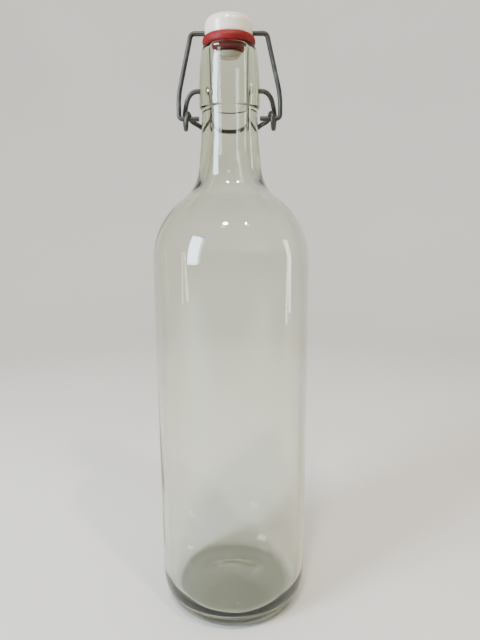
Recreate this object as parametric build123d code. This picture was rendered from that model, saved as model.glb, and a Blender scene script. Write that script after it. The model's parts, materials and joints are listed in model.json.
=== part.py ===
from build123d import *
from math import cos, pi, radians, sin, sqrt
import os

# Swing top bottle, millimetres. Z is up, the base rests on Z = 0 and the
# neck axis is X = Y = 0. The closure hinges turn about lines along X and
# the lever handle lies behind the neck, on the +Y side.

# ---- glass ----
BODY_R = 42.0
WALL = 3.0
BEARING_IN = 30.6
BEARING_OUT = 32.6
HEEL_H = 17.0
PUNT_H = 6.0
FLOOR_Z = 6.0
FLOOR_R = 31.0
FLOOR_CROWN = 5.0
SHOULDER_Z = 197.5
SHOULDER_R = 41.0
SHOULDER_SWEEP = 55.0
INNER_SWEEP = 53.0
NECK_R = 14.4
COLLAR_Z = 275.2
COLLAR_STEP = 0.8
FINISH_R = 15.5
FINISH_MID_Z = 281.5
FINISH_CURVE = 150.0
LIP_Z = 305.0
LIP_ROUND = 1.7
SEAT_IN_R = 10.4
BORE_R = 9.2
FLARE_Z = 301.0
BORE_BOTTOM_Z = 258.0

# ---- wire and hinges ----
WIRE_R = 1.22
RUN_FIT = 0.06
PIVOT_Z = 284.3
DIMPLE_X = 11.7
PIVOT_END_X = 11.9
BAR_Y = -1.5
BAR_Z = 270.7
CROSS_Z = 311.6

# ---- stopper and washer ----
WASHER_Z = 305.2
WASHER_H = 4.4
WASHER_R = 13.5
WASHER_BULGE = 1.2
PLUG_Z = 301.8
PLUG_R = 8.0
PLUG_ROOT_R = 9.2
NOSE_Z = 298.4
NOSE_R = 6.2
NOSE_NECK_R = 5.2
STOP_R = 12.1
STOP_EDGE_R = 4.5
CROWN_ANGLE = 22.0
STOP_SIDE_Z = 314.5

# ---- lever arm, coil and handle ----
ARM_START_X = 16.4
ARM_MID = (22.0, 1.0, 279.4)
ARM_MID_RUN = (0.30, 0.19, -1.0)
COIL_Z = 269.5
COIL_R = 3.75
COIL_X = 23.3
COIL_PITCH = 2.8
HANDLE_R = 17.2
HANDLE_Z = 270.2
HANDLE_TILT = 16.2
HANDLE_START = 27.0


def finish_radius(z):
    return FINISH_R - (z - FINISH_MID_Z) ** 2 / (2 * FINISH_CURVE)


def make_glass():
    inner_r = BODY_R - WALL
    centre_r = BODY_R - SHOULDER_R
    sweep = radians(SHOULDER_SWEEP)
    lip_side = LIP_Z - LIP_ROUND
    lip_r = finish_radius(lip_side)
    collar_top = COLLAR_Z + COLLAR_STEP
    with BuildPart() as glass:
        with BuildSketch(Plane.XZ):
            with BuildLine():
                # push-up, bearing ring and heel
                Spline((0, PUNT_H), (BEARING_IN, 0), tangents=[(1, 0), (1, 0)])
                Line((BEARING_IN, 0), (BEARING_OUT, 0))
                EllipticalCenterArc(
                    (BEARING_OUT, HEEL_H), BODY_R - BEARING_OUT, HEEL_H, 270, arc_size=90
                )
                Line((BODY_R, HEEL_H), (BODY_R, SHOULDER_Z))
                # domed shoulder running into the tapered neck
                dome = CenterArc(
                    (centre_r, SHOULDER_Z), SHOULDER_R, 0, SHOULDER_SWEEP
                )
                Spline(
                    dome @ 1,
                    (17.7, 240),
                    (15.7, 252),
                    (14.75, 262),
                    (NECK_R, COLLAR_Z),
                    tangents=[(-sin(sweep), cos(sweep)), (0, 1)],
                )
                # collar, barrel-shaped finish and rounded lip
                Line((NECK_R, COLLAR_Z), (finish_radius(collar_top), collar_top))
                ThreePointArc(
                    (finish_radius(collar_top), collar_top),
                    (finish_radius(290), 290),
                    (lip_r, lip_side),
                )
                ThreePointArc(
                    (lip_r, lip_side),
                    (lip_r - 0.4 * LIP_ROUND, LIP_Z - 0.28 * LIP_ROUND),
                    (lip_r - LIP_ROUND, LIP_Z),
                )
                Line((lip_r - LIP_ROUND, LIP_Z), (SEAT_IN_R, LIP_Z))
                # flared mouth, bore and inner shoulder
                Spline(
                    (SEAT_IN_R, LIP_Z),
                    (BORE_R, FLARE_Z),
                    tangents=[(-0.8, -0.6), (0, -1)],
                )
                Line((BORE_R, FLARE_Z), (BORE_R, BORE_BOTTOM_Z))
                inner = CenterArc(
                    (centre_r, SHOULDER_Z), SHOULDER_R - WALL, 0, INNER_SWEEP
                )
                turn = radians(INNER_SWEEP)
                Spline(
                    (BORE_R, BORE_BOTTOM_Z),
                    (10.2, 250),
                    (13.4, 240),
                    inner @ 1,
                    tangents=[(0, -1), (sin(turn), -cos(turn))],
                )
                Line((inner_r, SHOULDER_Z), (inner_r, FLOOR_Z + 13))
                # inside floor
                EllipticalCenterArc(
                    (FLOOR_R, FLOOR_Z + 13), inner_r - FLOOR_R, 13, 270, arc_size=90
                )
                Spline(
                    (FLOOR_R, FLOOR_Z),
                    (0, FLOOR_Z + FLOOR_CROWN),
                    tangents=[(-1, 0), (-1, 0)],
                )
                Line((0, FLOOR_Z + FLOOR_CROWN), (0, PUNT_H))
            make_face()
        revolve(axis=Axis.Z)
        # blind cups in the finish that hold the lever ends
        with BuildSketch(Plane.XZ):
            with BuildLine():
                hole_r = WIRE_R + RUN_FIT
                Polyline(
                    (DIMPLE_X, PIVOT_Z),
                    (DIMPLE_X, PIVOT_Z + hole_r),
                    (14.9, PIVOT_Z + hole_r),
                    (15.9, PIVOT_Z + hole_r + 1.0),
                    (17.5, PIVOT_Z + hole_r + 1.0),
                    (17.5, PIVOT_Z),
                    close=True,
                )
            make_face()
        pivot_line = Axis((0, 0, PIVOT_Z), (1, 0, 0))
        cup = revolve(axis=pivot_line, mode=Mode.SUBTRACT)
        mirror(cup, about=Plane.YZ, mode=Mode.SUBTRACT)
    return glass.part


def make_stopper():
    seat = WASHER_Z + WASHER_H
    crown = radians(CROWN_ANGLE)
    crown_r = STOP_EDGE_R + (STOP_R - STOP_EDGE_R) / sin(crown)
    with BuildPart() as stopper:
        with BuildSketch(Plane.XZ):
            with BuildLine():
                # tapered nose with the lip that keeps the washer on
                Line((0, NOSE_Z), (3.6, NOSE_Z))
                Spline(
                    (3.6, NOSE_Z),
                    (NOSE_R, PLUG_Z - 0.6),
                    tangents=[(1, 0), (0.1, 1)],
                )
                Line((NOSE_R, PLUG_Z - 0.6), (NOSE_NECK_R, PLUG_Z))
                Line((NOSE_NECK_R, PLUG_Z), (NOSE_NECK_R, seat))
                Line((NOSE_NECK_R, seat), (STOP_R - 0.5, seat))
                Line((STOP_R - 0.5, seat), (STOP_R, seat + 0.5))
                # domed cap
                Line((STOP_R, seat + 0.5), (STOP_R, STOP_SIDE_Z))
                edge = JernArc(
                    (STOP_R, STOP_SIDE_Z), (0, 1), STOP_EDGE_R, 90 - CROWN_ANGLE
                )
                top = JernArc(
                    edge @ 1, (-cos(crown), sin(crown)), crown_r, CROWN_ANGLE
                )
                Line(top @ 1, (0, NOSE_Z))
            make_face()
        revolve(axis=Axis.Z)
        # cross hole for the bail
        with Locations(Pos(0, 0, CROSS_Z) * Rot(0, 90, 0)):
            Cylinder(WIRE_R + RUN_FIT, 4 * STOP_R, mode=Mode.SUBTRACT)
    return stopper.part


def make_washer():
    top = WASHER_Z + WASHER_H
    mid = WASHER_Z + WASHER_H / 2
    edge_r = WASHER_R - WASHER_BULGE
    with BuildPart() as washer:
        with BuildSketch(Plane.XZ):
            with BuildLine():
                # tapered plug that wedges into the mouth
                Line((NOSE_NECK_R, PLUG_Z), (PLUG_R - 0.5, PLUG_Z))
                Line((PLUG_R - 0.5, PLUG_Z), (PLUG_R, PLUG_Z + 0.5))
                Line((PLUG_R, PLUG_Z + 0.5), (PLUG_ROOT_R, WASHER_Z))
                Line((PLUG_ROOT_R, WASHER_Z), (edge_r, WASHER_Z))
                ThreePointArc((edge_r, WASHER_Z), (WASHER_R, mid), (edge_r, top))
                Line((edge_r, top), (NOSE_NECK_R, top))
                Line((NOSE_NECK_R, top), (NOSE_NECK_R, PLUG_Z))
            make_face()
        revolve(axis=Axis.Z)
    return washer.part


def bail_point(x, z):
    # the bail lies in a plane leaning from the cross wire to the bar
    y = BAR_Y * (CROSS_Z - z) / (CROSS_Z - BAR_Z)
    return (x, y, z)


def make_bail():
    with BuildPart() as bail:
        with BuildLine() as path:
            FilletPolyline(
                bail_point(0, CROSS_Z),
                bail_point(19.1, CROSS_Z),
                bail_point(25.4, 284.6),
                bail_point(26.0, 279.0),
                bail_point(26.0, BAR_Z),
                bail_point(15.6, BAR_Z),
                radius=[2.3, 30.0, 12.0, 1.9],
            )
        with BuildSketch(Plane.YZ.offset(0).shift_origin((0, 0, CROSS_Z))):
            Circle(WIRE_R)
        sweep(path=path.wires()[0])
        mirror(about=Plane.YZ)
    return bail.part


def coil_point(turn_deg):
    # turn 0 is the back of the coil, 90 its bottom, 180 its front, 270 its top
    a = radians(turn_deg)
    x = COIL_X - COIL_PITCH * turn_deg / 360
    return Vector(x, BAR_Y + COIL_R * cos(a), COIL_Z - COIL_R * sin(a))


def coil_tangent(turn_deg):
    a = radians(turn_deg)
    slope = COIL_PITCH / (2 * pi * COIL_R)
    return Vector(-slope, -sin(a), -cos(a))


def bend(start, leave, end, arrive):
    # two circular bends that leave one point and reach the next smoothly
    leave = leave.normalized()
    arrive = arrive.normalized()
    chord = end - start
    along = chord.dot(leave + arrive)
    spread = 2 * (1 - leave.dot(arrive))
    reach = (sqrt(along**2 + spread * chord.dot(chord)) - along) / spread
    first = start + leave * reach
    second = end - arrive * reach
    middle = (first + second) / 2
    return [
        TangentArc(start, middle, tangent=leave),
        TangentArc(middle, end, tangent=second - first),
    ]


def handle_point(angle_deg):
    # the handle is an arc in a plane that drops towards the back
    a = radians(angle_deg)
    tilt = radians(HANDLE_TILT)
    out = HANDLE_R * sin(a)
    return Vector(HANDLE_R * cos(a), out * cos(tilt), HANDLE_Z - out * sin(tilt))


def handle_tangent(angle_deg):
    a = radians(angle_deg)
    tilt = radians(HANDLE_TILT)
    return Vector(-sin(a), cos(a) * cos(tilt), -cos(a) * sin(tilt))


def make_lever():
    middle = (HANDLE_START + 90) / 2
    turns = [0, 90, 180, 270, 315]
    elbow = Vector(ARM_START_X, 0, PIVOT_Z)
    knee = Vector(*ARM_MID)
    slant = Vector(*ARM_MID_RUN)
    pivot = Line((PIVOT_END_X, 0, PIVOT_Z), elbow)
    arm = bend(elbow, Vector(1, 0, 0), knee, slant)
    arm += bend(knee, slant, coil_point(0), coil_tangent(0))
    coil = []
    for start, end in zip(turns, turns[1:]):
        coil += bend(
            coil_point(start), coil_tangent(start), coil_point(end), coil_tangent(end)
        )
    reach = bend(
        coil_point(turns[-1]),
        coil_tangent(turns[-1]),
        handle_point(HANDLE_START),
        handle_tangent(HANDLE_START),
    )
    loop = ThreePointArc(
        handle_point(HANDLE_START), handle_point(middle), handle_point(90)
    )
    path = Wire([pivot, *arm, *coil, *reach, loop])
    section = Plane(pivot @ 0, x_dir=(0, 1, 0), z_dir=(1, 0, 0)) * Circle(WIRE_R)
    half = sweep(section, path=path)
    return half + mirror(half, about=Plane.YZ)


os.makedirs("parts", exist_ok=True)
export_step(make_glass(), "parts/glass_bottle.step")
export_step(make_stopper(), "parts/stopper.step")
export_step(make_washer(), "parts/rubber_washer.step")
export_step(make_bail(), "parts/bail_wire.step")
export_step(make_lever(), "parts/lever_wire.step")
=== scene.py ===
import json
import math

import bmesh
import bpy
import numpy as np
from mathutils import Matrix, Vector, noise


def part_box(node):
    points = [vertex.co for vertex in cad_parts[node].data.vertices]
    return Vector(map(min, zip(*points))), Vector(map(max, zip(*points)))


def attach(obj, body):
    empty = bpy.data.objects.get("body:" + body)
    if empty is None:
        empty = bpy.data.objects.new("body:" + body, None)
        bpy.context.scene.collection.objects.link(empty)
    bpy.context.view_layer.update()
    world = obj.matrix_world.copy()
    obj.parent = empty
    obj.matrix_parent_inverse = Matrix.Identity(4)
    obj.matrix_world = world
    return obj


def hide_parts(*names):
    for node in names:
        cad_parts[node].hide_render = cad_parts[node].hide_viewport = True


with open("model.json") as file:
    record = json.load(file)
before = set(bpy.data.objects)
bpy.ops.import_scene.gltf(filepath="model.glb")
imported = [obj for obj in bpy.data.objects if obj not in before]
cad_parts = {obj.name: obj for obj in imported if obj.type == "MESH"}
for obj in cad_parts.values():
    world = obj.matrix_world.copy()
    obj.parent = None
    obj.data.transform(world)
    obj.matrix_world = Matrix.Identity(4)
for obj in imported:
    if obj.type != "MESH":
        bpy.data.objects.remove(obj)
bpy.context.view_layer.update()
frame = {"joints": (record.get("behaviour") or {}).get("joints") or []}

MM = 0.001

# ------------------------------------------------------------------ places
_, glass_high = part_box("glass_bottle")
cap_low, cap_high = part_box("stopper")
washer_low, washer_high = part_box("rubber_washer")

LIP_Z = glass_high.z / MM
CAP_TOP = cap_high.z / MM
NOSE_Z = cap_low.z / MM
PLUG_Z = washer_low.z / MM
SEAT_Z = washer_high.z / MM
FLANGE_H = 4.4
FLANGE_Z = SEAT_Z - FLANGE_H
JOINTS = {joint["name"]: Vector(joint["pos_m"]) / MM for joint in frame["joints"]}
PIVOT = JOINTS["lever_hinge"]
BAR = JOINTS["bail_hinge"]
CROSS = JOINTS["stopper_hinge"]
WIRE_R = 1.22
HOLE_GAP = 0.06


# ------------------------------------------------------------------ curves
def hermite(p0, p1, t0, t1, count):
    """Points of one cubic from p0 to p1, without its last point."""
    out = []
    for k in range(count):
        s = k / count
        a = 2 * s**3 - 3 * s**2 + 1
        b = s**3 - 2 * s**2 + s
        c = -2 * s**3 + 3 * s**2
        d = s**3 - s**2
        out.append(a * p0 + b * t0 + c * p1 + d * t1)
    return out


def smooth_through(points, first, last, step):
    """A spline with continuous curvature through the points, with its end directions given."""
    pts = np.array([tuple(p) for p in points], float)
    gaps = np.linalg.norm(np.diff(pts, axis=0), axis=1)
    n = len(pts)
    system = np.zeros((n, n))
    right = np.zeros((n, pts.shape[1]))
    system[0, 0] = system[-1, -1] = 1
    right[0] = np.array(first, float) / np.linalg.norm(first)
    right[-1] = np.array(last, float) / np.linalg.norm(last)
    for i in range(1, n - 1):
        before, after = gaps[i - 1], gaps[i]
        system[i, i - 1] = after
        system[i, i] = 2 * (before + after)
        system[i, i + 1] = before
        right[i] = 3 * (
            after * (pts[i] - pts[i - 1]) / before
            + before * (pts[i + 1] - pts[i]) / after
        )
    slopes = np.linalg.solve(system, right)
    out = []
    for i in range(n - 1):
        count = max(2, int(math.ceil(gaps[i] / step)))
        out += hermite(
            pts[i], pts[i + 1], slopes[i] * gaps[i], slopes[i + 1] * gaps[i], count
        )
    out.append(pts[-1])
    return [np.array(p) for p in out]


def arc(centre, radius, start, end, count):
    """Points of a circle arc in a profile plane, angles in degrees."""
    turns = np.radians(np.linspace(start, end, count))
    return [
        np.array((centre[0] + radius * math.cos(a), centre[1] + radius * math.sin(a)))
        for a in turns
    ]


def ellipse(centre, rx, ry, start, end, count):
    turns = np.radians(np.linspace(start, end, count))
    return [
        np.array((centre[0] + rx * math.cos(a), centre[1] + ry * math.sin(a)))
        for a in turns
    ]


def line(p0, p1, count):
    return [
        np.array(p0, float) + (np.array(p1, float) - np.array(p0, float)) * k / (count - 1)
        for k in range(count)
    ]


def joined(*runs):
    """Runs of points end to end, without repeated points."""
    out = []
    for run in runs:
        for p in run:
            if not out or np.linalg.norm(np.array(p) - out[-1]) > 1e-4:
                out.append(np.array(p, float))
    return out


# ------------------------------------------------------------------ meshes
def smooth_faces(mesh):
    for face in mesh.polygons:
        face.use_smooth = True


def new_object(name, mesh, material, body):
    mesh.materials.append(material)
    obj = bpy.data.objects.new(name, mesh)
    bpy.context.scene.collection.objects.link(obj)
    smooth_faces(mesh)
    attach(obj, body)
    return obj


def turned(name, profile, segments, shape=None):
    """A closed solid of revolution. The profile starts and ends on the axis, or is a loop."""
    on_axis = abs(profile[0][0]) < 1e-6 and abs(profile[-1][0]) < 1e-6
    ring = profile[1:-1] if on_axis else profile
    verts, faces = [], []
    for r, z in ring:
        for k in range(segments):
            a = 2 * math.pi * k / segments
            rr, zz = (r, z) if shape is None else shape(r, z, a)
            verts.append((rr * math.cos(a) * MM, rr * math.sin(a) * MM, zz * MM))
    rows = len(ring)
    for i in range(rows - 1 if on_axis else rows):
        j = (i + 1) % rows
        for k in range(segments):
            m = (k + 1) % segments
            faces.append(
                (i * segments + k, i * segments + m, j * segments + m, j * segments + k)
            )
    if on_axis:
        for end, row in ((0, 0), (-1, rows - 1)):
            tip = len(verts)
            verts.append((0, 0, profile[end][1] * MM))
            for k in range(segments):
                m = (k + 1) % segments
                pair = (row * segments + k, row * segments + m)
                faces.append((tip, *pair) if end else (tip, *reversed(pair)))
    mesh = bpy.data.meshes.new(name)
    mesh.from_pydata(verts, [], faces)
    fix_normals(mesh)
    return mesh


def fix_normals(mesh):
    bm = bmesh.new()
    bm.from_mesh(mesh)
    bmesh.ops.recalc_face_normals(bm, faces=bm.faces)
    bm.to_mesh(mesh)
    bm.free()
    mesh.update()


def cut(obj, cutter_mesh):
    """Takes a closed mesh away from an object and applies the result."""
    cutter = bpy.data.objects.new("cutter", cutter_mesh)
    bpy.context.scene.collection.objects.link(cutter)
    modifier = obj.modifiers.new("cut", "BOOLEAN")
    modifier.operation = "DIFFERENCE"
    modifier.solver = "EXACT"
    modifier.object = cutter
    bpy.context.view_layer.update()
    graph = bpy.context.evaluated_depsgraph_get()
    mesh = bpy.data.meshes.new_from_object(obj.evaluated_get(graph))
    obj.modifiers.clear()
    obj.data = mesh
    bpy.data.objects.remove(cutter)


def tube(name, points, radius, sides=28, squeeze=None):
    """A wire swept along points, with eased square-cut ends. squeeze(s) flattens a bend."""
    pts = [Vector(p) for p in points]
    total = sum((b - a).length for a, b in zip(pts, pts[1:]))
    bm = bmesh.new()
    rings = []
    tangent = (pts[1] - pts[0]).normalized()
    up = Vector((0, 0, 1)) if abs(tangent.z) < 0.9 else Vector((0, 1, 0))
    side = tangent.cross(up).normalized()
    gone = 0.0
    steps = []
    for i, p in enumerate(pts):
        a = pts[max(i - 1, 0)]
        b = pts[min(i + 1, len(pts) - 1)]
        way = (b - a).normalized()
        side = (side - way * side.dot(way)).normalized()
        if i:
            gone += (p - pts[i - 1]).length
        steps.append((p, way, side.copy(), gone))
    start, end = steps[0], steps[-1]
    ease = 0.22 * radius
    rows = [
        (start[0], start[1], start[2], radius - ease),
        (start[0] + start[1] * ease * 0.35, start[1], start[2], radius - 0.4 * ease),
        (start[0] + start[1] * ease, start[1], start[2], radius),
    ]
    for p, way, across, at in steps[1:-1]:
        if ease * 1.2 < at < total - ease * 1.2:
            rows.append((p, way, across, radius))
    rows += [
        (end[0] - end[1] * ease, end[1], end[2], radius),
        (end[0] - end[1] * ease * 0.35, end[1], end[2], radius - 0.4 * ease),
        (end[0], end[1], end[2], radius - ease),
    ]
    for p, way, across, r in rows:
        other = way.cross(across)
        ring = []
        for k in range(sides):
            a = 2 * math.pi * k / sides
            out = across * math.cos(a) + other * math.sin(a)
            bump = 1.0 if squeeze is None else squeeze(p, out)
            ring.append(bm.verts.new((p + out * r * bump) * MM))
        rings.append(ring)
    for low, high in zip(rings, rings[1:]):
        for k in range(sides):
            m = (k + 1) % sides
            bm.faces.new((low[k], low[m], high[m], high[k]))
    bm.faces.new(list(reversed(rings[0])))
    bm.faces.new(rings[-1])
    bmesh.ops.recalc_face_normals(bm, faces=bm.faces)
    mesh = bpy.data.meshes.new(name)
    bm.to_mesh(mesh)
    bm.free()
    return mesh


# ------------------------------------------------------------------ materials
class Paint:
    """A node material with a Principled shader and short calls for its nodes."""

    def __init__(self, name):
        self.material = bpy.data.materials.new(name)
        self.material.use_nodes = True
        self.tree = self.material.node_tree
        self.shader = self.tree.nodes["Principled BSDF"]
        self.output = self.tree.nodes["Material Output"]
        self.place = self.node("ShaderNodeTexCoord").outputs["Object"]

    def node(self, kind, **settings):
        made = self.tree.nodes.new(kind)
        for key, value in settings.items():
            setattr(made, key, value)
        return made

    def link(self, a, b):
        self.tree.links.new(a, b)

    def mapped(self, scale):
        made = self.node("ShaderNodeMapping")
        made.inputs["Scale"].default_value = scale
        self.link(self.place, made.inputs["Vector"])
        return made.outputs["Vector"]

    def noise(self, scale, detail=4.0, rough=0.55, stretch=None, distortion=0.0):
        made = self.node("ShaderNodeTexNoise")
        made.inputs["Scale"].default_value = scale
        made.inputs["Detail"].default_value = detail
        made.inputs["Roughness"].default_value = rough
        made.inputs["Distortion"].default_value = distortion
        self.link(self.mapped(stretch) if stretch else self.place, made.inputs["Vector"])
        return made.outputs["Fac"]

    def spots(self, scale, stretch=None):
        made = self.node("ShaderNodeTexVoronoi")
        made.inputs["Scale"].default_value = scale
        self.link(self.mapped(stretch) if stretch else self.place, made.inputs["Vector"])
        return made.outputs["Distance"]

    def ramp(self, source, stops):
        made = self.node("ShaderNodeValToRGB")
        ramp = made.color_ramp
        while len(ramp.elements) < len(stops):
            ramp.elements.new(0.5)
        for element, (at, colour) in zip(ramp.elements, stops):
            element.position = at
            element.color = colour if len(colour) == 4 else (*colour, 1)
        self.link(source, made.inputs["Fac"])
        return made.outputs["Color"]

    def spread(self, source, low, high, start=0.0, end=1.0, smooth=False):
        made = self.node("ShaderNodeMapRange")
        made.inputs["From Min"].default_value = start
        made.inputs["From Max"].default_value = end
        made.inputs["To Min"].default_value = low
        made.inputs["To Max"].default_value = high
        made.interpolation_type = "SMOOTHSTEP" if smooth else "LINEAR"
        self.link(source, made.inputs["Value"])
        return made.outputs["Result"]

    def maths(self, operation, a, b):
        made = self.node("ShaderNodeMath", operation=operation)
        for socket, value in zip(made.inputs, (a, b)):
            if isinstance(value, (int, float)):
                socket.default_value = value
            else:
                self.link(value, socket)
        return made.outputs["Value"]

    def mix(self, factor, a, b):
        made = self.node("ShaderNodeMix", data_type="RGBA")
        sockets = (made.inputs[0], made.inputs[6], made.inputs[7])
        for socket, value in zip(sockets, (factor, a, b)):
            if isinstance(value, (int, float)):
                socket.default_value = value
            elif isinstance(value, tuple):
                socket.default_value = (*value, 1)
            else:
                self.link(value, socket)
        return made.outputs[2]

    def bump(self, height, distance, strength=1.0, under=None):
        made = self.node("ShaderNodeBump")
        made.inputs["Strength"].default_value = strength
        made.inputs["Distance"].default_value = distance
        self.link(height, made.inputs["Height"])
        if under is not None:
            self.link(under, made.inputs["Normal"])
        return made.outputs["Normal"]

    def axis(self, letter):
        made = self.node("ShaderNodeSeparateXYZ")
        self.link(self.place, made.inputs["Vector"])
        return made.outputs[letter]

    def set(self, **sockets):
        for key, value in sockets.items():
            socket = self.shader.inputs[key.replace("_", " ")]
            if isinstance(value, (int, float)):
                socket.default_value = value
            elif isinstance(value, tuple):
                socket.default_value = (*value, 1) if len(value) == 3 else value
            else:
                self.link(value, socket)


def glass_material():
    paint = Paint("clear_glass_worn")
    waves = paint.noise(38, 2.0, 0.4, (1, 1, 0.22))
    normal = paint.bump(waves, 0.0006, 0.25)
    smudge = paint.noise(26, 5.0, 0.6, distortion=0.6)
    film = paint.ramp(smudge, [(0.52, (0.0, 0.0, 0.0)), (0.78, (1, 1, 1))])
    scratch = paint.noise(900, 2.0, 0.5, (1, 1, 0.03))
    lines = paint.ramp(scratch, [(0.66, (0, 0, 0)), (0.74, (1, 1, 1))])
    height = paint.axis("Z")
    low_wear = paint.spread(height, 1.0, 0.0, 0.004, 0.03)
    high_wear = paint.spread(height, 0.0, 1.0, 0.175, 0.195)
    over = paint.spread(height, 1.0, 0.0, 0.205, 0.225)
    wear = paint.maths("ADD", low_wear, paint.maths("MULTIPLY", high_wear, over))
    scuffs = paint.maths("MULTIPLY", wear, lines)
    rough = paint.spread(film, 0.012, 0.055)
    rough = paint.maths("ADD", rough, paint.maths("MULTIPLY", scuffs, 0.2))
    # painted edge shade: the base colour turns a darker olive where the surface is seen edge-on, so
    # the glass reads dark along its outlines
    facing = paint.node("ShaderNodeLayerWeight")
    facing.inputs["Blend"].default_value = 0.5
    edge = paint.spread(facing.outputs["Facing"], 0.0, 1.0, 0.35, 1.0)
    edge = paint.maths("POWER", edge, 1.6)
    tint_with_painted_edge_shade = paint.mix(edge, (0.985, 0.99, 0.978), (0.74, 0.775, 0.63))
    paint.set(
        Base_Color=paint.mix(paint.spread(film, 0.0, 0.35), tint_with_painted_edge_shade, (0.93, 0.935, 0.91)),
        Roughness=rough,
        Transmission_Weight=1.0,
        IOR=1.52,
        Normal=normal,
    )
    volume = paint.node("ShaderNodeVolumeAbsorption")
    volume.inputs["Color"].default_value = (0.67, 0.71, 0.47, 1)
    volume.inputs["Density"].default_value = 70.0
    paint.link(volume.outputs["Volume"], paint.output.inputs["Volume"])
    return paint.material


def plastic_material():
    paint = Paint("stopper_plastic_white")
    cloud = paint.noise(140, 4.0, 0.6)
    stain = paint.ramp(cloud, [(0.35, (0.66, 0.60, 0.50)), (0.7, (0.74, 0.68, 0.58))])
    fine = paint.noise(2600, 2.0, 0.5)
    grime = paint.noise(420, 5.0, 0.7)
    low = paint.spread(paint.axis("Z"), 1.0, 0.0, SEAT_Z * MM, (SEAT_Z + 1.6) * MM)
    dirt = paint.maths("MULTIPLY", low, paint.spread(grime, 0.1, 0.75, 0.35, 0.7))
    paint.set(
        Base_Color=paint.mix(dirt, stain, (0.42, 0.33, 0.25)),
        Roughness=paint.spread(grime, 0.17, 0.34, 0.3, 0.7),
        Normal=paint.bump(fine, 0.00002, 0.35, paint.bump(grime, 0.00006, 0.3)),
        Coat_Weight=0.35,
        Coat_Roughness=0.12,
        Subsurface_Weight=0.12,
        IOR=1.5,
    )
    paint.shader.inputs["Subsurface Radius"].default_value = (0.0012, 0.001, 0.0008)
    return paint.material


def rubber_material():
    paint = Paint("washer_rubber_red")
    fine = paint.noise(1500, 4.0, 0.6)
    cloud = paint.noise(210, 4.0, 0.6)
    tone = paint.ramp(cloud, [(0.3, (0.12, 0.0016, 0.002)), (0.72, (0.22, 0.003, 0.004))])
    bloom = paint.ramp(fine, [(0.58, (0, 0, 0)), (0.82, (0.08, 0.08, 0.08))])
    paint.set(
        Base_Color=paint.mix(bloom, tone, (0.30, 0.05, 0.045)),
        Roughness=paint.spread(fine, 0.42, 0.68, 0.3, 0.7),
        Normal=paint.bump(fine, 0.00006, 0.5),
        Specular_IOR_Level=0.3,
        IOR=1.5,
    )
    return paint.material


def wire_material():
    paint = Paint("wire_steel_galvanised")
    spangle = paint.spots(420, (1, 1, 0.5))
    tarnish = paint.noise(160, 6.0, 0.65, distortion=0.4)
    grain = paint.noise(1500, 3.0, 0.6, (1, 1, 0.2))
    tone = paint.ramp(
        tarnish,
        [
            (0.3, (0.028, 0.028, 0.025)),
            (0.55, (0.070, 0.070, 0.065)),
            (0.75, (0.15, 0.15, 0.143)),
        ],
    )
    tone = paint.mix(paint.spread(spangle, 0.0, 0.18), tone, (0.17, 0.17, 0.163))
    blotches = paint.noise(330, 5.0, 0.7)
    rust = paint.ramp(blotches, [(0.62, (0, 0, 0)), (0.76, (0.55, 0.55, 0.55))])
    paint.set(
        Base_Color=paint.mix(rust, tone, (0.16, 0.095, 0.055)),
        Metallic=paint.spread(rust, 0.85, 0.25),
        Roughness=paint.spread(tarnish, 0.36, 0.62, 0.3, 0.7),
        Normal=paint.bump(grain, 0.00004, 0.6, paint.bump(tarnish, 0.0001, 0.35)),
    )
    return paint.material


# ------------------------------------------------------------------ bottle
BODY_R = 42.0
WALL = 3.0
SHOULDER_Z = 197.5
SHOULDER_R = 41.0
SWEEP = 55.0
INNER_SWEEP = 53.0
BEARING_IN, BEARING_OUT = 30.6, 32.6
HEEL_H = 17.0
PUNT_H = 6.0
FLOOR_Z, FLOOR_R, FLOOR_CROWN, FLOOR_CORNER_H = 6.0, 31.0, 5.0, 13.0
NECK_R = 14.4
COLLAR_Z = 275.2
BORE_R, FLARE_Z, BORE_BOTTOM = 9.2, 301.0, 258.0
SEAT_IN_R = 10.4
LIP_ROUND = 1.7
BARREL_R, BARREL_Z, BARREL_CURVE = 15.5, 281.5, 300.0
SEAM_H, SEAM_W = 0.13, 0.32
UNEVEN_FROM_R = 9.9
STIPPLES, STIPPLE_H, STIPPLE_R, STIPPLE_W = 120, 0.28, 31.6, 2.4


def finish_radius(z):
    """The barrel-shaped outside of the neck finish."""
    return BARREL_R - (z - BARREL_Z) ** 2 / BARREL_CURVE


def outer_profile():
    turn = math.radians(SWEEP)
    side = LIP_Z - LIP_ROUND
    lip_r = finish_radius(side)
    collar_top = COLLAR_Z + 0.95
    return joined(
        smooth_through([(0, PUNT_H), (BEARING_IN, 0)], (1, 0), (1, 0), 1.2),
        line((BEARING_IN, 0), (BEARING_OUT, 0), 4),
        ellipse((BEARING_OUT, HEEL_H), BODY_R - BEARING_OUT, HEEL_H, 270, 360, 22),
        line((BODY_R, HEEL_H), (BODY_R, SHOULDER_Z), 60),
        arc((BODY_R - SHOULDER_R, SHOULDER_Z), SHOULDER_R, 0, SWEEP, 30),
        smooth_through(
            [
                arc((BODY_R - SHOULDER_R, SHOULDER_Z), SHOULDER_R, SWEEP, SWEEP, 1)[0],
                (17.7, 240),
                (15.7, 252),
                (14.75, 262),
                (NECK_R, COLLAR_Z - 0.2),
            ],
            (-math.sin(turn), math.cos(turn)),
            (0, 1),
            1.3,
        ),
        smooth_through(
            [
                (NECK_R, COLLAR_Z - 0.2),
                (NECK_R + 0.45, COLLAR_Z + 0.3),
                (finish_radius(collar_top), collar_top),
            ],
            (0, 1),
            (0, 1),
            0.16,
        ),
        [(finish_radius(z), z) for z in np.linspace(collar_top + 0.1, side, 30)],
        arc((lip_r - LIP_ROUND, side), LIP_ROUND, 4, 90, 9),
    )


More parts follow.
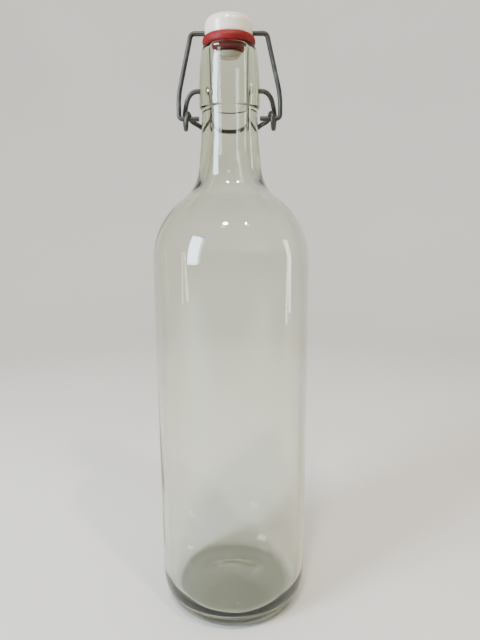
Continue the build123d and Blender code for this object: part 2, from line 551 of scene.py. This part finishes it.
def inner_profile():
    turn = math.radians(INNER_SWEEP)
    inner_r = BODY_R - WALL
    centre = BODY_R - SHOULDER_R
    corner_z = FLOOR_Z + FLOOR_CORNER_H
    lip_r = finish_radius(LIP_Z - LIP_ROUND) - LIP_ROUND
    dome_end = arc((centre, SHOULDER_Z), SHOULDER_R - WALL, INNER_SWEEP, INNER_SWEEP, 1)[0]
    return joined(
        line((lip_r, LIP_Z), (SEAT_IN_R, LIP_Z), 4),
        smooth_through([(SEAT_IN_R, LIP_Z), (BORE_R, FLARE_Z)], (-0.8, -0.6), (0, -1), 0.6),
        line((BORE_R, FLARE_Z), (BORE_R, BORE_BOTTOM), 36),
        smooth_through(
            [(BORE_R, BORE_BOTTOM), (10.2, 250), (13.4, 240), dome_end],
            (0, -1),
            (math.sin(turn), -math.cos(turn)),
            1.2,
        ),
        arc((centre, SHOULDER_Z), SHOULDER_R - WALL, INNER_SWEEP, 0, 28),
        line((inner_r, SHOULDER_Z), (inner_r, corner_z), 60),
        ellipse((FLOOR_R, corner_z), inner_r - FLOOR_R, FLOOR_CORNER_H, 360, 270, 18),
        smooth_through([(FLOOR_R, FLOOR_Z), (0, FLOOR_Z + FLOOR_CROWN)], (-1, 0), (-1, 0), 1.2),
    )


def bottle_mesh():
    outer = outer_profile()
    inner = inner_profile()
    first_inner = len(outer)
    profile = joined(outer, inner)
    inner_points = {(round(p[0], 5), round(p[1], 5)) for p in profile[first_inner:]}

    def shape(r, z, a):
        """Blown-glass unevenness: a wavy inner wall, faint mould seams, a stippled bearing ring."""
        spot = Vector((math.cos(a) * r * 0.035, math.sin(a) * r * 0.035, z * 0.011))
        if (round(r, 5), round(z, 5)) in inner_points:
            if r > UNEVEN_FROM_R and z < 262:
                fade = min(1.0, (r - UNEVEN_FROM_R) / 8.0)
                ripple = noise.noise(spot * 2.3 + Vector((7, 1, 3)))
                wave = noise.noise(spot) * 0.42 + ripple * 0.22
                thick = 0.22 * math.cos(a - 0.9) * min(1.0, max(0.0, (z - 20) / 40))
                return r + fade * (wave + thick), z + (0.5 * wave if r < 30 and z < 20 else 0)
            if 240 < z < 300.5:
                return r + 0.09 * noise.noise(spot * 3.0 + Vector((2, 5, 1))), z
            return r, z
        grow = 0.0
        if z > 2 and r > 13.5:
            seam = abs(math.sin(a)) * r
            if z < LIP_Z - 3:
                grow = SEAM_H * math.exp(-((seam / SEAM_W) ** 2))
            grow -= 0.05 * (0.5 + 0.5 * noise.noise(spot * 1.7))
        drop = 0.0
        if z < 0.9 and 27.0 < r < 36.5:
            stipple = 0.5 + 0.5 * math.cos(STIPPLES * a)
            drop = STIPPLE_H * stipple * math.exp(-(((r - STIPPLE_R) / STIPPLE_W) ** 2))
        return r + grow, z + drop

    return turned("bottle_glass", profile, 360, shape)


def cup_mesh(sign):
    """The blind round cup that a lever end turns in, as the solid to take away."""
    hole = WIRE_R + HOLE_GAP
    steps = [
        (11.5, 0.0),
        (11.5, hole - 0.45),
        (11.62, hole - 0.12),
        (11.95, hole),
        (14.3, hole),
        (14.9, hole + 0.12),
        (15.3, hole + 0.5),
        (15.8, hole + 1.15),
        (17.5, hole + 1.8),
        (17.5, 0.0),
    ]
    mesh = turned("cup", [(r, x) for x, r in steps], 48)
    # the cup was turned about Z, and now lies along the hinge line
    along = Vector((sign, 0, 0)).to_track_quat("Z", "Y").to_matrix().to_4x4()
    place = Matrix.Translation(PIVOT * MM)
    mesh.transform(place @ along)
    fix_normals(mesh)
    return mesh


# ------------------------------------------------------------------ stopper
CORE_R = 5.2
NOSE_TIP_R, NOSE_R = 3.4, 6.2
CAP_R, CAP_EDGE_R, CAP_EDGE_Z, CROWN_DEG = 12.1, 4.5, 314.5, 22
CAP_FOOT_R, CAP_FLAT_R = 0.6, 11.5
PARTING_Z = 314.6


def stopper_profile():
    crown_r = CAP_EDGE_R + (CAP_R - CAP_EDGE_R) / math.sin(math.radians(CROWN_DEG))
    nose_top = (NOSE_R, PLUG_Z - 0.6)
    foot_z = SEAT_Z + CAP_FOOT_R
    return joined(
        line((0, NOSE_Z), (NOSE_TIP_R, NOSE_Z), 5),
        smooth_through(
            [(NOSE_TIP_R, NOSE_Z), (5.3, NOSE_Z + 0.9), nose_top], (1, 0), (0.1, 1), 0.3
        ),
        smooth_through([nose_top, (CORE_R, PLUG_Z)], (0.1, 1), (-0.6, 1), 0.2),
        line((CORE_R, PLUG_Z), (CORE_R, SEAT_Z), 12),
        line((CORE_R, SEAT_Z), (CAP_FLAT_R, SEAT_Z), 8),
        arc((CAP_FLAT_R, foot_z), CAP_FOOT_R, 270, 360, 7),
        line((CAP_R, foot_z), (CAP_R, CAP_EDGE_Z), 18),
        arc((CAP_R - CAP_EDGE_R, CAP_EDGE_Z), CAP_EDGE_R, 0, 90 - CROWN_DEG, 18),
        arc((0, CAP_TOP - crown_r), crown_r, 90 - CROWN_DEG, 90, 18),
    )


def stopper_shape(r, z, a):
    """A faint parting line down both sides and a low ring where the mould halves meet."""
    seam = abs(math.cos(a)) * r
    grow = 0.0
    if r > 9 and z > SEAT_Z + 0.8:
        grow = 0.05 * math.exp(-((seam / 0.22) ** 2))
        grow += 0.04 * math.exp(-(((z - PARTING_Z) / 0.25) ** 2))
    return r + grow, z


# ------------------------------------------------------------------ washer
WASHER_R, WASHER_BULGE = 13.5, 1.2
FLASH_H = 0.12


def washer_profile():
    mid = (FLANGE_Z + SEAT_Z) / 2
    half = (SEAT_Z - FLANGE_Z) / 2
    edge = WASHER_R - WASHER_BULGE
    return joined(
        line((CORE_R, PLUG_Z), (7.5, PLUG_Z), 5),
        arc((7.5, PLUG_Z + 0.5), 0.5, 270, 350, 6),
        line((8.05, PLUG_Z + 0.7), (9.1, FLANGE_Z - 0.3), 8),
        line((9.4, FLANGE_Z), (edge, FLANGE_Z), 10),
        ellipse((edge, mid), WASHER_BULGE, half, -86, 86, 26),
        line((edge, SEAT_Z), (CORE_R, SEAT_Z), 16),
        line((CORE_R, SEAT_Z), (CORE_R, PLUG_Z), 8)[:-1],
    )


def washer_shape(r, z, a):
    """A thin moulding flash and a slight wobble round the edge."""
    mid = (FLANGE_Z + SEAT_Z) / 2
    if r > 12.6:
        flash = FLASH_H * math.exp(-(((z - mid) / 0.16) ** 2))
        wobble = 0.07 * noise.noise(Vector((math.cos(a) * 2.1, math.sin(a) * 2.1, z * 0.2)))
        return r - FLASH_H + flash + wobble, z
    return r, z


# ------------------------------------------------------------------ wires
BAIL_TOP_X, BAIL_KNEE_X, BAIL_LEG_X, BAIL_END_X = 19.1, 25.4, 26.0, 15.6
BAIL_KNEE_Z, BAIL_LEG_Z = 284.6, 279.0
BAIL_BENDS = [2.3, 30.0, 12.0, 1.9]
PIVOT_END_X, ARM_START_X = 11.9, 16.4
ARM_MID, ARM_MID_WAY = Vector((22.0, 1.0, 279.4)), Vector((0.30, 0.19, -1.0))
COIL_Z, COIL_R, COIL_X, COIL_PITCH, COIL_END = 269.5, 3.75, 23.3, 2.8, 315
HANDLE_R, HANDLE_Z, HANDLE_TILT, HANDLE_START = 17.2, 270.2, 16.2, 27.0


def filleted(corners, radii, step):
    """Straight runs with circular bends, as points."""
    pts = [Vector(c) for c in corners]
    out = [pts[0]]
    for before, corner, after, radius in zip(pts, pts[1:], pts[2:], radii):
        a = (before - corner).normalized()
        b = (after - corner).normalized()
        half = a.angle(b) / 2
        reach = radius / math.tan(half)
        centre = corner + (a + b).normalized() * (radius / math.sin(half))
        start = corner + a * reach
        end = corner + b * reach
        u = (start - centre).normalized()
        v = (end - centre).normalized()
        total = u.angle(v)
        count = max(6, int(radius * total / step))
        straight = (start - out[-1]).length
        pieces = max(1, int(straight / 0.8))
        last = out[-1]
        out += [last.lerp(start, k / pieces) for k in range(1, pieces)]
        for k in range(count + 1):
            out.append(centre + (u.slerp(v, k / count)) * radius)
    last, end = out[-1], pts[-1]
    pieces = max(1, int((end - last).length / 0.8))
    out += [last.lerp(end, k / pieces) for k in range(1, pieces + 1)]
    return out


def bail_point(x, z):
    """A point of the bail's flat plane, which leans from its bars to the cross wire."""
    y = BAR.y * (CROSS.z - z) / (CROSS.z - BAR.z)
    return Vector((x, y, z))


def bail_points():
    half = filleted(
        [
            bail_point(0, CROSS.z),
            bail_point(BAIL_TOP_X, CROSS.z),
            bail_point(BAIL_KNEE_X, BAIL_KNEE_Z),
            bail_point(BAIL_LEG_X, BAIL_LEG_Z),
            bail_point(BAIL_LEG_X, BAR.z),
            bail_point(BAIL_END_X, BAR.z),
        ],
        BAIL_BENDS,
        0.35,
    )
    left = [Vector((-p.x, p.y, p.z)) for p in reversed(half)]
    return left[:-1] + half


def bend(start, leave, end, arrive, step=0.3):
    """Points of the two circular bends that leave one point and reach the next smoothly."""
    leave, arrive = leave.normalized(), arrive.normalized()
    chord = end - start
    along = chord.dot(leave + arrive)
    spread = 2 * (1 - leave.dot(arrive))
    reach = (math.sqrt(along**2 + spread * chord.dot(chord)) - along) / spread
    first, second = start + leave * reach, end - arrive * reach
    middle = (first + second) / 2
    out = []
    onward = (second - first).normalized()
    for a, b, way in ((start, middle, leave), (middle, end, onward)):
        straight = b - a
        half = way.angle(straight)
        out_way = (straight - way * straight.dot(way)).normalized()
        radius = straight.length / (2 * math.sin(half))
        count = max(5, int(2 * half * radius / step))
        for k in range(count + 1):
            turn = 2 * half * k / count
            across = out_way * radius * (1 - math.cos(turn))
            out.append(a + across + way * radius * math.sin(turn))
    return out


def coil_point(turn):
    a = math.radians(turn)
    x = COIL_X - COIL_PITCH * turn / 360
    return Vector((x, BAR.y + COIL_R * math.cos(a), COIL_Z - COIL_R * math.sin(a)))


def coil_way(turn):
    a = math.radians(turn)
    return Vector((-COIL_PITCH / (2 * math.pi * COIL_R), -math.sin(a), -math.cos(a)))


def handle_point(angle):
    a, tilt = math.radians(angle), math.radians(HANDLE_TILT)
    x, out = HANDLE_R * math.cos(a), HANDLE_R * math.sin(a)
    return Vector((x, out * math.cos(tilt), HANDLE_Z - out * math.sin(tilt)))


def handle_way(angle):
    a, tilt = math.radians(angle), math.radians(HANDLE_TILT)
    return Vector((-math.sin(a), math.cos(a) * math.cos(tilt), -math.cos(a) * math.sin(tilt)))


def lever_points():
    elbow = Vector((ARM_START_X, PIVOT.y, PIVOT.z))
    pivot = line((PIVOT_END_X, PIVOT.y, PIVOT.z), tuple(elbow), 8)
    arm = bend(elbow, Vector((1, 0, 0)), ARM_MID, ARM_MID_WAY)
    arm += bend(ARM_MID, ARM_MID_WAY, coil_point(0), coil_way(0))
    coil = [coil_point(turn) for turn in range(0, COIL_END + 1, 3)]
    reach = bend(
        coil_point(COIL_END),
        coil_way(COIL_END),
        handle_point(HANDLE_START),
        handle_way(HANDLE_START),
    )
    loop = [handle_point(angle) for angle in np.linspace(HANDLE_START, 90, 60)]
    half = joined(pivot, arm, coil, reach, loop)
    left = [np.array((-p[0], p[1], p[2])) for p in reversed(half)]
    return half + left[1:]


def wire_unevenness(seed):
    """Slight dents and flats left by the bending tools."""

    def squeeze(p, out):
        big = noise.noise(p * 0.16 + Vector((seed, 0, 0)))
        small = noise.noise((p + out * 1.2) * 0.9 + Vector((0, seed, 0)))
        return 1.0 - 0.012 + 0.010 * big + 0.014 * small

    return squeeze


# ------------------------------------------------------------------ build
glass_paint = glass_material()
steel_paint = wire_material()

bottle = new_object("bottle_glass", bottle_mesh(), glass_paint, "bottle")
for side in (-1, 1):
    cut(bottle, cup_mesh(side))
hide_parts("glass_bottle")

stopper = new_object(
    "stopper_cap",
    turned("stopper_cap", stopper_profile(), 160, stopper_shape),
    plastic_material(),
    "cap",
)
cross_line = [(x, CROSS.y, CROSS.z) for x in np.linspace(-16, 16, 9)]
cut(stopper, tube("hole", cross_line, WIRE_R + HOLE_GAP, 40))
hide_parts("stopper")

washer = new_object(
    "washer_ring",
    turned("washer_ring", washer_profile(), 200, washer_shape),
    rubber_material(),
    "cap",
)
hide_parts("rubber_washer")

bail = new_object(
    "bail", tube("bail", bail_points(), WIRE_R, 28, wire_unevenness(3.0)), steel_paint, "bail"
)
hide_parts("bail_wire")

lever = new_object(
    "lever", tube("lever", lever_points(), WIRE_R, 28, wire_unevenness(11.0)), steel_paint, "lever"
)
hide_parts("lever_wire")


# ------------------------------------------------------------------ floor
STAGE_FLAT, STAGE_BEND, STAGE_H = 0.7, 0.6, 1.5
STAGE_DROP = 0.00005


def floor_material():
    """A pale floor and back wall, with painted shade: a darker wall at the sides and in front, and
    the floor darkening towards it.
    """
    paint = Paint("floor_pale")
    cloud = paint.noise(3.0, 3.0, 0.5)
    pale = paint.ramp(cloud, [(0.3, (0.62, 0.60, 0.565)), (0.7, (0.66, 0.64, 0.605))])
    away = paint.node("ShaderNodeVectorMath", operation="LENGTH")
    paint.link(paint.place, away.inputs[0])
    # painted shade: the colour darkens further from the middle and towards the front
    far = paint.spread(away.outputs["Value"], 0.0, 1.0, 0.5, 1.25, smooth=True)
    forward = paint.spread(paint.axis("Y"), 1.0, 0.0, -0.9, 1.15, smooth=True)
    shade = paint.maths("MULTIPLY", far, forward)
    paint.set(Base_Color=paint.mix(shade, pale, (0.12, 0.117, 0.112)), Roughness=0.75)
    return paint.material


def dish_mesh(flat, bend_r, height, segments=144):
    """A round floor that sweeps up into a round wall, with no corner in any direction."""
    rows = [(flat * k / 10, 0.0) for k in range(1, 11)]
    rows += [
        (flat + bend_r * math.sin(a), bend_r * (1 - math.cos(a)))
        for a in np.linspace(0, math.pi / 2, 25)[1:]
    ]
    rows.append((flat + bend_r, height))
    turns = [2 * math.pi * k / segments for k in range(segments)]
    verts, faces = [(0, 0, 0)], []
    for r, z in rows:
        verts += [(r * math.cos(turn), r * math.sin(turn), z) for turn in turns]
    for k in range(segments):
        m = (k + 1) % segments
        faces.append((0, 1 + k, 1 + m))
        for row in range(len(rows) - 1):
            low, high = 1 + row * segments, 1 + (row + 1) * segments
            faces.append((low + k, high + k, high + m, low + m))
    mesh = bpy.data.meshes.new("floor")
    mesh.from_pydata(verts, [], faces)
    smooth_faces(mesh)
    return mesh


floor = bpy.data.objects.new("floor", dish_mesh(STAGE_FLAT, STAGE_BEND, STAGE_H))
floor.data.materials.append(floor_material())
bpy.context.scene.collection.objects.link(floor)
floor.location.z = -STAGE_DROP


# ------------------------------------------------------------------ light
def area_light(name, place, target, size, power, colour):
    data = bpy.data.lights.new(name, "AREA")
    data.shape = "RECTANGLE"
    data.size, data.size_y = size
    data.energy = power
    data.color = colour
    lamp = bpy.data.objects.new(name, data)
    lamp.location = place
    lamp.rotation_mode = "QUATERNION"
    lamp.rotation_quaternion = (Vector(target) - Vector(place)).to_track_quat("-Z", "Y")
    bpy.context.scene.collection.objects.link(lamp)
    return lamp


area_light("window", (-0.72, -0.52, 0.46), (0, 0, 0.24), (0.28, 0.58), 20.0, (0.70, 0.85, 1.0))
area_light("lamp_a", (-0.09, -0.50, 1.0), (0, 0, 0.2), (0.10, 0.07), 7.0, (1.0, 0.90, 0.76))
area_light("lamp_b", (0.31, -0.44, 1.0), (0, 0, 0.2), (0.05, 0.05), 4.0, (1.0, 0.88, 0.72))
area_light("side", (0.84, 0.02, 0.26), (0, 0, 0.16), (0.08, 0.50), 1.6, (1.0, 0.93, 0.80))
# a wide soft light over the floor and wall, which the glass does not mirror
fill = area_light("fill", (0.0, 0.25, 1.45), (0, 0.35, 0), (1.7, 1.7), 18.0, (1.0, 0.965, 0.92))
fill.visible_glossy = False
fill.visible_transmission = False

world = bpy.data.worlds.new("studio")
bpy.context.scene.world = world
world.use_nodes = True
background = world.node_tree.nodes["Background"]
background.inputs["Color"].default_value = (1.0, 0.975, 0.94, 1)
background.inputs["Strength"].default_value = 0.24

# ------------------------------------------------------------------ camera
LENS, LOOK_DOWN_DEG, ROLL_DEG = 29.56, 10.94, -0.39
CAMERA_PLACE = (4.64 * MM, -286.9 * MM, 220.3 * MM)

camera_data = bpy.data.cameras.new("camera")
camera_data.sensor_width = 36.0
camera_data.lens = LENS
camera_data.clip_start = 0.01
camera = bpy.data.objects.new("camera", camera_data)
bpy.context.scene.collection.objects.link(camera)
camera.location = CAMERA_PLACE
tilt = Matrix.Rotation(math.radians(90 - LOOK_DOWN_DEG), 4, "X")
roll = Matrix.Rotation(math.radians(ROLL_DEG), 4, "Z")
camera.rotation_mode = "QUATERNION"
camera.rotation_quaternion = (tilt @ roll).to_quaternion()
bpy.context.scene.camera = camera
